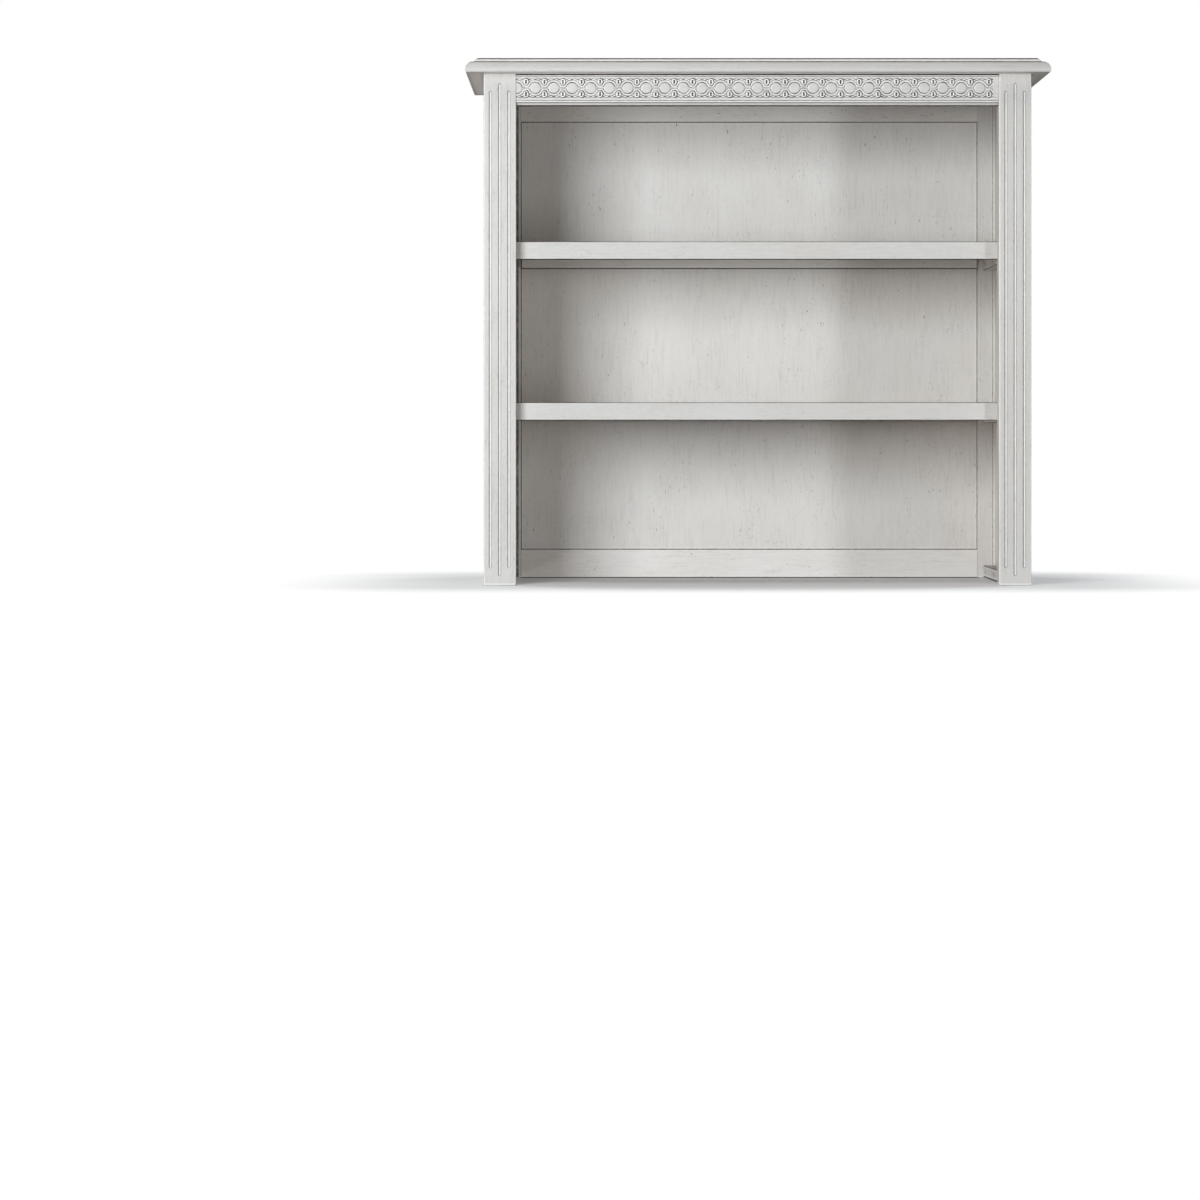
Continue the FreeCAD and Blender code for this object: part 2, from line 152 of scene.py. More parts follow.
# Joints in the paint: reach and strength of the glaze, or of rubbed paint where the strength is below zero
FRAME_LINE = (0.7 * MM, 1.0)
FAINT_LINE = (0.7 * MM, 0.5)
PANEL_LINE = (1.5 * MM, 1.3)
PANEL_RIGHT_LINE = (1.5 * MM, 0.8)
# Painted shadow of the batten on the back panel, just under it
PANEL_BATTEN_SHADOW = (1.5 * MM, 1.0)
# Painted shade on the batten's underside and lower edge
BATTEN_SHADOW = (1.0 * MM, 1.3)
# Painted shadow along the lips' lower edge
LIP_SHADOW = (0.8 * MM, 2.0)
# Painted shade on the cleats' tops
CLEAT_TOP_SHADE = (2 * MM, 0.6)
# Painted shade in the deep left back corner, where the stile meets the side panel
CORNER_PAINTED_SHADE = (7.5 * MM, 1.1)
CORNER_PALE = (1.5 * MM, -1.0)
RAIL_FOOT_LINE = (1.3 * MM, 1.0)
# Black painted shadow at the head of the frieze rail, in the gap under the crown
RAIL_HEAD_SHADOW = (1.5 * MM, 2.2)
# Painted shadow on the frieze rail under the moulding
MOULDING_SHADOW = (1.5 * MM, 0.7)

# Where the case stands: rubbed paint at the foot of its boards, and a painted contact shadow at the foot of the
# lowest cleats
STANDING = ((Z, 0.0, 3 * MM, -0.9),)
CLEAT_FOOT_SHADOW = ((Z, 0.0, 2.6 * MM, 2.2),)

# Distances from the back stiles' outer edges: middle of the left one's painted shade in the deep corner, and
# line on the right one
CORNER_PLACE = 18.5 * MM
CORNER_GAP = 3 * MM

# Bare beech has rings and flecks, plated steel turning marks and spots: waves per metre of these noises, where
# they start and are full, and weight, then how dark they go, bump strength and depth, sheen and its swing
BEECH = {"layers": (((300, 20), (0.35, 0.7), 0.6), ((1600, 200, 1.0), (0.62, 0.72), 0.7)),
         "dark": 0.72, "bump": (0.3, 0.2 * MM), "sheen": 0.55, "swing": 0.2, "metallic": 0.0}
STEEL = {"layers": (((900, 3000, 2.0), (0, 1), 0), ((500, 500, 3.0), (0.5, 0.75), 1)),
         "dark": 0.45, "bump": (0.2, 0.05 * MM), "sheen": 0.32, "swing": 0.25, "metallic": 1.0}

# Strip of the crown's underside that shows: insets in millimetres, painted shadow where it meets the frieze, and
# painted light that brightens the rest
UNDER_INSETS = (34, 28, 26.5, 20, 8)
UNDER_SHADOW = (1.9, 1.9, 0.2, 0.0, 0.0)
UNDER_LIGHT = (0.0, 0.0, 0.9, 1.0, 0.8)

# Crown's rounds: slant that the small round starts at, and paint as strength and as shares of a round's turn,
# either from and to, or middle and half width
HIGH_START = math.radians(140)
FOOT_PALE = (0.05, 0.2)
# Painted shade on the large round's upper part, which turns up away from the light
LOW_PAINTED_SHADE = (0.62, 0.8)
LOW_PALE = 0.15
LOW_PALE_PLACE = (0, 0.1)
LEDGE_GLAZE = 1.1
LEDGE_END = (0.02, 0.12)
# Painted shade on the small round's upper slope
HIGH_SHADE = 1.7
HIGH_SHADE_PLACE = (0.64, 0.22)
# Rubbed paint and a painted highlight on the small round's lower part, which faces forward
HIGH_HIGHLIGHT_PLACE = (0.24, 0.13)

# Flutes: extra lines of points beside one, as shares of its radius, and glaze on its left and right rim, the
# left rim's extra being painted shade on the wall turned from the key light
RIM_SHARES = np.array([1.2, 1.45])
LEFT_RIM_SHADE = 1.45
RIGHT_RIM = 0.45

# Carved frieze: points per medallion and rows, and forms that are too small to set by themselves
FRIEZE_COLUMNS = 41
FRIEZE_ROWS = 84
EYELET_SLANT = 0.45
EYELET_STRETCH = 1.04
SLOT_HALF_WIDTH = 1.15 * MM
SLOT_HALF_HEIGHT = 2.7 * MM
SLOT_WAIST = 0.3
LEAF_MIDDLE = 4.3 * MM
LEAF_HALF_LENGTH = 3.3 * MM
LEAF_HALF_WIDTH = 1.35 * MM
LEAF_TIP = 9.2 * MM
MARK_RADIUS = 0.8 * MM
BULGE = 0.45 * MM
CARVING_END = 0.2
WAVER = 0.1 * MM
WAVER_PACE = 61
WAVER_PACES = (WAVER_PACE, WAVER_PACE * math.e)

# Paint on the carving: glaze in its lines with painted shade on the circles' tops and bottoms, one side of the
# eyelets and the gap, rubbed paint with painted highlights, where the lit flank lies, and how much the glaze
# varies
# The circles' darker tops and bottoms and the eyelets' darker side are painted shade; the gap's black is painted
# shadow
GLAZE = SimpleNamespace(ring=0.45, arch_shade=0.65, wave=1.15, eyelet=1.05, eyelet_shade=1.3, leaf=0.9, mark=2.4,
                        slot=2.2, gap=2.2, foot=1.4)
# The lit crests and the discs' left flanks are painted highlights
PALE = SimpleNamespace(rim=1.0, crest=0.7, lit_crest=0.3, lit_flank=1.0, bridge=1.0, field=1.0)
LIT_FLANK_PLACE = 7.9 * MM
LIT_FLANK_HALF = 1.2 * MM
RIM_PLACE = 0.55
ACCENT = 0.35
ACCENT_PACE = 331

# Border of the frieze, as distances from its top and bottom edges; a bead also has a half width
# The black painted shadow in the gap under the crown reaches this far down; the strip below is painted at its
# palest
GAP_FOOT = 0.8 * MM
STRIP_FOOT = 2.6 * MM
TOP_LINE = 3.1 * MM
TOP_EDGE = 5.6 * MM
FOOT_LINE = 2.6 * MM
LOW_EDGE = 7.0 * MM
TOP_BEAD = (4.3 * MM, 1.1 * MM)
LOW_BEAD = (5.4 * MM, 1.1 * MM)
FOOT_BEAD = (1.0 * MM, 1.3 * MM)

# Floor: radius, sides, drop below the case, roughness, distance over which it turns white, and its glow there
FLOOR_RADIUS = 40
FLOOR_SIDES = 64
FLOOR_DROP = 0.2 * MM
FLOOR_ROUGHNESS = 0.9
FLOOR_FADE = 0.35
FLOOR_WHITE = 1.02

# Painted contact shadow on the floor: reach before the back and the posts, share of it that is full, and
# softness
RAIL_SHADE = 56 * MM
POST_SHADE = 12 * MM
FULL_SHADE = 0.1
FLOOR_SOFT = 4 * MM

# Lights: name, which starts like that of its power, share of this power, azimuth and elevation in degrees,
# distance from what they are aimed at, width, height, colour, and whether surfaces show its sheen
LIGHTS = (
    ("key", 1.0, -25, 7, 3.4, 1.15, 1.3, "cool", True),
    ("second", 1.0, 37, -1, 3.4, 0.3, 1.2, "cool", True),
    ("low_left", 1.45, -80, -27, 3.4, 1.0, 0.5, "warm", True),
    ("low_right", 0.45, 40, -25, 3.4, 1.0, 0.5, "white", True),
    ("foot", 1.0, 0, -60, 3.4, 1.0, 1.0, "white", True),
    ("top", 1.0, -10, 70, 3.0, 2.0, 1.5, "white", False),
    ("back_left", 1.0, 235, 20, 3.6, 1.8, 1.8, "cool", False),
    ("back_right", 1.0, 125, 25, 3.6, 1.8, 1.8, "cool", False),
)
AIM = (0.0, 0.0, 0.4)
WARM_LAMP = (1.0, 0.93, 0.91)
WHITE = (1.0, 1.0, 1.0)
BLACK = (0.0, 0.0, 0.0)


def number(name, description, value, **more):
    return bpy.props.FloatProperty(name=name, description=description, default=value, **more)


def length(name, description, millimetres):
    """A size that a user may change, held in metres."""
    return number(name, description, millimetres * MM, min=0, subtype="DISTANCE", unit="LENGTH")


def colour(name, description, rgb):
    return bpy.props.FloatVectorProperty(name=name, description=description, default=rgb, size=3,
                                         min=0, max=1, subtype="COLOR")


def share(name, description, value):
    return number(name, description, value, min=0, max=1, subtype="FACTOR")


def power(name, description, watts):
    return number(name, description, watts, min=0, subtype="POWER")


class HutchShape(bpy.types.PropertyGroup):
    """Sizes of the turned, carved and eased forms."""
    edge_ease: length("Edge ease", "Radius on the boards' long edges", 0.6)
    post_ease: length("Post ease", "Radius on the posts' front edges", 1.5)
    flute_width: length("Flute width", "Width of a flute", 4)
    flute_pitch: length("Flute pitch", "Distance between two flutes' middles", 14.3)
    side_flute_end: length("Side flute end", "Plain wood beyond the outer flutes", 26.5)
    middle_flute_end: length("Middle flute end", "Plain wood beyond the middle flute", 14.5)
    crown_foot: length("Crown foot round", "Radius on the crown's lower edge", 3)
    crown_low: length("Crown large round", "Radius of the crown's large quarter round", 12.5)
    crown_high: length("Crown small round", "Height of the crown's small round", 6.2)
    crown_high_reach: length("Crown small round reach", "How far the small round goes back", 9)
    crown_ledge: length("Crown ledge", "Width of the step between the crown's two rounds", 0.5)
    medallion_pitch: length("Medallion pitch", "Distance between two medallions' middles", 28.64)
    medallion_radius: length("Medallion radius", "Radius of the line round a medallion", 8.4)
    ring_radius: length("Ring radius", "Radius of the ridge round a medallion", 10.7)
    bridge_rise: length("Bridge rise", "Height of the ridges between medallions", 2.85)
    ridge_half: length("Ridge half width", "Half the width of the ridges", 1.6)
    eyelet_rise: length("Eyelet rise", "Height of an eyelet above the frieze's middle", 9.55)
    eyelet_half: length("Eyelet half width", "Half the width of an eyelet", 5)
    leaf_rise: length("Leaf rise", "Height of a leaf above the frieze's middle", 13.2)
    relief: length("Relief", "Height of the carving above its ground", 2.2)
    ground_depth: length("Ground depth", "Depth of the carving's ground behind the border", 3)
    line_width: length("Line width", "Half the width of a carved line", 0.45)
    line_depth: length("Line depth", "Depth of a carved line", 1.2)


class HutchFinish(bpy.types.PropertyGroup):
    """Colours and strengths of the whitewashed finish."""
    paint: colour("Paint", "Rubbed white paint", (0.744, 0.701, 0.656))
    # Also the colour of painted light and painted highlights
    rubbed_and_lit: colour("Rubbed edge", "Paint rubbed smooth and pale on edges", (0.96, 0.92, 0.88))
    # Also the colour of painted shade in hollows and joints
    glaze: colour("Glaze", "Grey-brown glaze left in grain and hollows", (0.15, 0.122, 0.10))
    grain_strength: share("Grain", "How strongly the glaze shows in the grain", 0.115)
    fleck_strength: share("Flecks", "How dark the short dark flecks are", 0.8)
    # Also scales the painted shade that is held with the glaze
    hollow_and_shade_strength: share("Hollows", "How much glaze lies in hollows and joints", 0.9)
    # Also the colour of black painted shadow in gaps and under parts
    deep_dirt_and_shade: colour("Deep glaze", "Dark dirt in the deepest slots and gaps", (0.03, 0.025, 0.022))
    roughness: share("Roughness", "Roughness of the paint", 0.5)
    steel: colour("Screw steel", "Dull plated steel of the screws", (0.17, 0.165, 0.16))
    dowel: colour("Dowel wood", "Bare beech of the dowels", (0.62, 0.42, 0.24))


class HutchStage(bpy.types.PropertyGroup):
    """The camera, the floor and the studio lights."""
    camera: bpy.props.FloatVectorProperty(name="Camera", description="Place of the camera",
                                          default=(-0.232, -6.069, 0.2244), subtype="TRANSLATION")
    lens: number("Lens", "Focal length in millimetres on a 36 mm sensor", 114.5)
    shift_x: number("Shift X", "Sideways shift of the picture", -0.0062)
    shift_y: number("Shift Y", "Upward shift of the picture", -0.13345)
    floor: colour("Floor", "Plain pale floor", (0.768, 0.75, 0.738))
    floor_glow: share("Floor glow", "Brightness of the floor under the case on its own", 0.05)
    key_power: power("Key power", "Power of the light from the front left", 85)
    second_power: power("Second power", "Power of the light from the front right", 26)
    low_power: power("Low power", "Power of the low lights left and right", 13)
    foot_power: power("Foot power", "Power of the light from under the front", 5)
    top_power: power("Top power", "Power of the light above", 33)
    back_power: power("Back power", "Power of the lights behind", 80)
    lamp_colour: colour("Lamp colour", "Colour of the key, second and back lights", (0.879, 0.947, 1.0))
    ambient_colour: colour("Ambient colour", "Colour of the even light from all around", (1.0, 0.88, 0.78))
    ambient: share("Ambient", "Strength of the even light from all around", 0.02)


# Meshes


def add_piece(name, points, faces, material, marks):
    """Makes one closed object of welded points, its faces turned outwards, that rides on the case.

    marks holds a number per point for each named attribute, and the points after them get zero.
    """
    mesh = bpy.data.meshes.new(name)
    mesh.from_pydata(points, [], faces)
    for label, values in marks.items():
        layer = mesh.attributes.new(label, "FLOAT", "POINT")
        padded = np.zeros(len(points), dtype=np.float32)
        padded[:values.size] = values.ravel()
        layer.data.foreach_set("value", padded)
    work = bmesh.new()
    work.from_mesh(mesh)
    bmesh.ops.remove_doubles(work, verts=work.verts, dist=WELD)
    bmesh.ops.recalc_face_normals(work, faces=work.faces)
    work.to_mesh(mesh)
    work.free()
    mesh.shade_smooth()
    mesh.set_sharp_from_angle(angle=SMOOTH_FOLD)
    mesh.materials.append(material)
    piece = add_object(name, mesh)
    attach(piece, BODY)
    return piece


def add_object(name, data):
    """A new object in the scene."""
    made = bpy.data.objects.new(name, data)
    bpy.context.scene.collection.objects.link(made)
    return made


def grid_faces(rows, columns, first):
    """Four-sided faces between neighbours of a grid of points that are numbered row by row."""
    corner = first + np.arange(rows - 1)[:, None] * columns + np.arange(columns - 1)[None, :]
    quads = np.stack([corner, corner + 1, corner + columns + 1, corner + columns], -1)
    return quads.reshape(-1, 4).tolist()


def gather(grids, loops):
    """Joins grids of points (rows, columns, 3) and flat loops into one list of points and one of faces."""
    points = []
    faces = []
    first = 0
    for grid in grids:
        rows, columns = grid.shape[:2]
        points.append(grid.reshape(-1, 3))
        faces.extend(grid_faces(rows, columns, first))
        first += rows * columns
    for loop in loops:
        points.append(loop)
        faces.append(list(range(first, first + len(loop))))
        first += len(loop)
    return np.concatenate(points).tolist(), faces


def arc(centre_x, centre_y, radius, start, end, steps):
    """Points on an arc: centre plus radius times cosine and sine of an angle that runs evenly."""
    turn = np.linspace(start, end, steps + 1)
    return np.stack([centre_x + radius * np.cos(turn), centre_y + radius * np.sin(turn)], -1)


def ramp(value, low, high):
    """0 below low, 1 above high and 3t^2 - 2t^3 between, where t is the share of the way."""
    t = np.clip((value - low) / (high - low), 0, 1)
    return t * t * (3 - 2 * t)


def softened(node, material):
    """A board copied from the frame with its corners merged and its long sharp edges eased."""
    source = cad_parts[node]
    mesh = source.data.copy()
    work = bmesh.new()
    work.from_mesh(mesh)
    bmesh.ops.remove_doubles(work, verts=work.verts, dist=WELD)
    bmesh.ops.dissolve_limit(work, angle_limit=FLAT_FOLD, verts=work.verts, edges=work.edges)
    weight = work.edges.layers.float.new("bevel_weight_edge")
    for edge in work.edges:
        long_enough = edge.calc_length() > SHORTEST_SOFT_EDGE
        if long_enough and edge.is_manifold and edge.is_convex and edge.calc_face_angle() > SHARP_FOLD:
            edge[weight] = 1
    work.to_mesh(mesh)
    work.free()
    mesh.shade_flat()
    mesh.materials.clear()
    mesh.materials.append(material)
    piece = add_object("eased_" + node, mesh)
    bevel = piece.modifiers.new("Ease", "BEVEL")
    bevel.limit_method = "WEIGHT"
    bevel.width = bpy.context.scene.hutch_shape.edge_ease
    bevel.segments = SOFT_STRIPS
    bevel.use_clamp_overlap = False
    weld = piece.modifiers.new("Weld", "WELD")
    weld.merge_threshold = WELD
    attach(piece, BODY)
    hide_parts(node)
    return piece


# Materials


class Shading:
    """The nodes of one material or world, joined as they are added."""

    def __init__(self, owner):
        owner.use_nodes = True
        self.owner = owner
        self.tree = owner.node_tree
        self.tree.nodes.clear()

    def node(self, kind, inputs, **settings):
        """Adds a node with its inputs and settings, and gives its outputs."""
        node = self.tree.nodes.new("ShaderNode" + kind)
        for key, value in settings.items():
            setattr(node, key, value)
        for key, value in inputs.items():
            if isinstance(value, bpy.types.NodeSocket):
                self.tree.links.new(value, node.inputs[key])
            else:
                node.inputs[key].default_value = value
        return node.outputs

    def math(self, operation, *values, **settings):
        return self.node("Math", dict(enumerate(values)), operation=operation, **settings)[0]

    def times(self, product, *values):
        """The product of values."""
        for value in values:
            product = self.math("MULTIPLY", product, value)
        return product

    def vector(self, operation, *values):
        return self.node("VectorMath", dict(enumerate(values)), operation=operation)[0]

    def step(self, value, low, high, bottom=0.0, top=1.0):
        """Smooth step of a value from low to high, between bottom and top."""
        return self.node("MapRange", {0: value, 1: low, 2: high, 3: bottom, 4: top},
                         interpolation_type="SMOOTHSTEP")[0]

    def most(self, values):
        """The largest of several values."""
        largest = values[0]
        for value in values[1:]:
            largest = self.math("MAXIMUM", largest, value)
        return largest

    def place(self):
        """The shaded point in its object's own coordinates."""
        return self.node("TexCoord", {})["Object"]

    def axes(self, place):
        """X, Y and Z of a place."""
        return self.node("SeparateXYZ", {0: place})

    def noise(self, place, grain, across, along, detail=3.0, roughness=0.55):
        """Noise with so many waves per metre across and along the grain."""
        scale = [across] * 3
        scale[grain] = along
        moved = self.vector("MULTIPLY", place, scale)
        inputs = {"Vector": moved, "Scale": 1.0, "Detail": detail, "Roughness": roughness}
        return self.node("TexNoise", inputs)[0]

    def mix(self, amount, first, second):
        return self.node("Mix", {0: amount, 6: first, 7: second}, data_type="RGBA")[2]

    def bump(self, height, strength, distance):
        """The surface's normal tilted by a relief."""
        return self.node("Bump", {"Height": height, "Strength": strength, "Distance": distance})[0]

    def finish(self, inputs):
        """Gives the material its surface and returns it."""
        self.node("OutputMaterial", {"Surface": self.node("BsdfPrincipled", inputs)[0]})
        return self.owner


def rgba(rgb):
    return (*rgb, 1.0)


def edge_distance(s, place, low, high):
    """Distance to the nearest edge of a box: the middle one of the three distances to its nearest planes."""
    centre = [(a + b) / 2 for a, b in zip(low, high)]
    half = [(b - a) / 2 for a, b in zip(low, high)]
    offset = s.vector("ABSOLUTE", s.vector("SUBTRACT", place, centre))
    x, y, z = s.axes(s.vector("SUBTRACT", half, offset))
    lower = s.math("MINIMUM", x, y)
    upper = s.math("MAXIMUM", x, y)
    return s.math("MAXIMUM", lower, s.math("MINIMUM", upper, z))


def joint_marks(s, place, joints, front):
    """Glaze in joints, some of it painted shade and painted shadow, and rubbed paint along them, as two lists of
    values.

    A joint is (axis, place, reach, strength): a dark line with a pale one beyond it, or only a pale line if its
    strength is below zero. If front is given, joints count only before that Y.
    """
    axes = s.axes(place)
    shown = 1.0 if front is None else s.step(axes[Y], front, front + MM, 1.0, 0.0)
    shades = []
    pales = []
    for axis, at, reach, strength in joints:
        away = s.math("ABSOLUTE", s.math("SUBTRACT", axes[axis], at))
        near = s.times(s.step(away, reach, reach * HALF, 0.0, abs(strength)), shown)
        if strength < 0:
            pales.append(near)
            continue
        shades.append(near)
        start = s.step(away, *[reach * part for part in BESIDE_START])
        end = s.step(away, *[reach * part for part in BESIDE_END])
        pales.append(s.times(end, start, BESIDE_SHARE * strength, shown))
    return shades, pales


def grain_glaze(s, noises, finish, flecks):
    """Glaze left in the grain: streaks, hairs and mottles in patches, and sparse dark flecks."""
    hairs = s.times(s.step(noises.hair, *HAIRS), HAIR_SHARE)
    mottles = s.times(s.step(noises.mottle, *MOTTLES), MOTTLE_SHARE)
    marks = s.math("ADD", s.math("ADD", s.step(noises.streak, *STREAKS), hairs), mottles)
    soft = s.times(marks, s.step(noises.drift, *PATCHES), finish.grain_strength)
    dark = s.times(s.step(noises.speck, *SPECKS), s.step(noises.drift, *SPECK_PATCHES),
                   finish.fleck_strength * flecks)
    return s.math("ADD", soft, dark)


def whitewash(node, grain, kind, count=0, box=None, joints=(), front=None):
    """Rubbed white paint over brushed grain, for a node's kind of finish and its number within that kind.

    Glaze lies in the grain, in hollows and in joints, and above full strength it turns to dark dirt; the marks
    in hollows and joints also hold painted shade and painted shadow, which above full strength turn black. The
    arrises of the box are rubbed pale, the rubbed marks also hold painted light, and some kinds also have a dark
    line there.
    """
    finish = bpy.context.scene.hutch_finish
    seed, tone, flecks, wear, line = FINISHES[kind]
    s = Shading(bpy.data.materials.new(node + "_finish"))
    place = s.place()
    moved = s.vector("ADD", place, [(seed + count) * step % 1 for step in SEED_STEPS])
    noises = SimpleNamespace()
    for label, waves in PAINT_NOISES.items():
        setattr(noises, label, s.noise(moved, grain, *waves))
    shades, pales = joint_marks(s, place, joints, front)
    # Marks the mesh holds: glaze with painted shade, and rubbed paint with painted light
    for label, values in (("hollow_and_shade", shades), ("rubbed_and_lit", pales)):
        values.append(s.node("Attribute", {}, attribute_name=label)["Fac"])
    if box is not None:
        nearest = edge_distance(s, place, *box)
        pales.append(s.step(nearest, WORN_REACH, WORN_REACH * HALF, 0.0, wear))
        if line:
            shades.append(s.step(nearest, LINE_REACH, LINE_REACH * HALF, 0.0, line))
    shade = s.times(s.most(shades), s.step(noises.mottle, *UNEVEN_SHADE))
    pale = s.times(s.most(pales), s.step(noises.streak, *UNEVEN_PALE))
    hollows_and_shade = s.times(shade, finish.hollow_and_shade_strength)
    glaze = s.math("ADD", grain_glaze(s, noises, finish, flecks), hollows_and_shade, use_clamp=True)
    # Above full strength the glaze turns dark: dirt, and black painted shadow in gaps and under parts
    dirt_and_shade = s.math("SUBTRACT", shade, 1.0, use_clamp=True)
    paint = [value * tone for value in finish.paint]
    aged = [value * kept for value, kept in zip(paint, CLOUD_SHARES)]
    clouded = s.mix(s.step(noises.cloud, *CLOUDS), rgba(paint), rgba(aged))
    painted = s.mix(pale, clouded, rgba(finish.rubbed_and_lit))
    coloured = s.mix(dirt_and_shade, s.mix(glaze, painted, rgba(finish.glaze)), rgba(finish.deep_dirt_and_shade))
    roughness = s.math("ADD", finish.roughness - SHEEN_BELOW, s.times(noises.streak, SHEEN_SWING))
    hairs = s.times(s.step(noises.hair, *HAIRS), HAIR_DEPTH)
    relief = s.math("SUBTRACT", s.times(noises.streak, STREAK_HEIGHT), hairs)
    return s.finish({"Base Color": coloured, "Roughness": roughness, "Normal": s.bump(relief, *PAINT_BUMP)})


def bare_surface(name, base, look):
    """One colour with two layers of darker marks along the piece, the first of which is also a relief."""
    s = Shading(bpy.data.materials.new(name))
    place = s.place()
    mixed = rgba(base)
    dark = rgba([value * look["dark"] for value in base])
    noises = []
    for waves, limits, weight in look["layers"]:
        noises.append(s.noise(place, X, *waves))
        mixed = s.mix(s.times(s.step(noises[-1], *limits), weight), mixed, dark)
    roughness = s.math("ADD", look["sheen"], s.times(noises[0], look["swing"]))
    return s.finish({"Base Color": mixed, "Roughness": roughness, "Normal": s.bump(noises[0], *look["bump"]),
                     "Metallic": look["metallic"]})


# Crown


def line_at(value, middle, half_width):
    """A smooth bump: e to the minus square of the distance from the middle over the half width."""
    return np.exp(-((value - middle) / half_width) ** 2)


def crown_marks(foot_points, low_points, high_points):
    """Glaze with painted shade, and rubbed paint with painted light, at the points of the underside, the foot,
    the large round and the small one.
    """
    low_turn = np.linspace(0, 1, low_points)
    high_turn = np.linspace(0, 1, high_points)
    ledge_line = LEDGE_GLAZE * (1 - ramp(high_turn, *LEDGE_END))
    high_shade = HIGH_SHADE * line_at(high_turn, *HIGH_SHADE_PLACE)
    hollow_and_shade = [UNDER_SHADOW, np.zeros(foot_points), ramp(low_turn, *LOW_PAINTED_SHADE),
              np.maximum(ledge_line, high_shade)]
    rubbed_and_lit = [UNDER_LIGHT, np.linspace(*FOOT_PALE, foot_points), LOW_PALE * line_at(low_turn, *LOW_PALE_PLACE),
              line_at(high_turn, *HIGH_HIGHLIGHT_PLACE)]
    return np.concatenate(hollow_and_shade), np.concatenate(rubbed_and_lit)


def crown_profile(shape, thick):
    """Inset and height of the moulded edge, with its glaze and painted shade, and its rubbed paint and painted
    light, at each point.

    From the underside up: a strip of the underside, foot round, large round, ledge, small round, which is an
    arc that starts aslant, stretched to its reach and height.
    """
    shoulder = thick - shape.crown_high
    spring = shoulder - shape.crown_low
    insets = np.array(UNDER_INSETS) * MM
    under = np.stack([insets, np.zeros_like(insets)], -1)
    foot = arc(shape.crown_foot, shape.crown_foot, shape.crown_foot, -math.pi / 2, -math.pi, EASED_STEPS)
    low = arc(shape.crown_low, spring, shape.crown_low, math.pi, math.pi / 2, ARC_STEPS)
    high = arc(0, 0, 1, HIGH_START, math.pi / 2, 2 * ARC_STEPS)
    high = (high - high[0]) / (high[-1] - high[0]) * [shape.crown_high_reach, shape.crown_high]
    high += [shape.crown_low + shape.crown_ledge, shoulder]
    return np.concatenate([under, foot, low, high]), *crown_marks(len(foot), len(low), len(high))


def crown_shell(low, high, profile):
    """The profile carried round the left end, the front and the right end, with mitred front corners.

    A point with inset i and height h lies at i inside the outline and h above the underside.
    """
    inset, rise = profile[:, 0], profile[:, 1] + low.z
    left, right = low.x + inset, high.x - inset
    front = low.y + inset
    back = np.full_like(inset, high.y)
    corners = ((left, back), (left, front), (right, front), (right, back))
    around = np.stack([np.stack([x, y, rise], -1) for x, y in corners])
    caps = [np.stack([around[:2, end], around[:1:-1, end]]) for end in (0, -1)]
    behind = np.concatenate([around[0], around[3, ::-1]])
    return around, caps, behind


class HUTCH_OT_crown(bpy.types.Operator):
    """Crown board with its moulded edge, mitred at the front corners"""
    bl_idname = "hutch.crown"
    bl_label = "Crown Board"

    def execute(self, context):
        shape = context.scene.hutch_shape
        low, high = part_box("crown_board")
        profile, hollow_and_shade, rubbed_and_lit = crown_profile(shape, high.z - low.z)
        around, caps, behind = crown_shell(low, high, profile)
        points, faces = gather([around, *caps], [behind])
        marks = {"hollow_and_shade": np.tile(hollow_and_shade, len(around)), "rubbed_and_lit": np.tile(rubbed_and_lit, len(around))}
        material = whitewash("crown", X, "crown")
        piece = add_piece("moulded_crown", points, faces, material, marks)
        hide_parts("crown_board")
        return {"FINISHED"}


# Posts


def post_section(low, high, ease, flutes):
    """Outline of the post's section from its rear left corner, and which points lie on the front face.

    flutes holds the X of the points across each flute.
    """
    left = arc(low.x + ease, low.y + ease, ease, math.pi, math.pi * 1.5, EASED_STEPS)[:-1]
    right = arc(high.x - ease, low.y + ease, ease, math.pi * 1.5, math.tau, EASED_STEPS)[1:]
    face_x = np.concatenate([[low.x + ease], *flutes, [high.x - ease]])
    face = np.stack([face_x, np.full_like(face_x, low.y)], -1)
    section = np.concatenate([[[low.x, high.y]], left, face, right, [[high.x, high.y]], [[low.x, high.y]]])
    order = np.arange(len(section))
    return section, (order > len(left)) & (order <= len(left) + len(face))


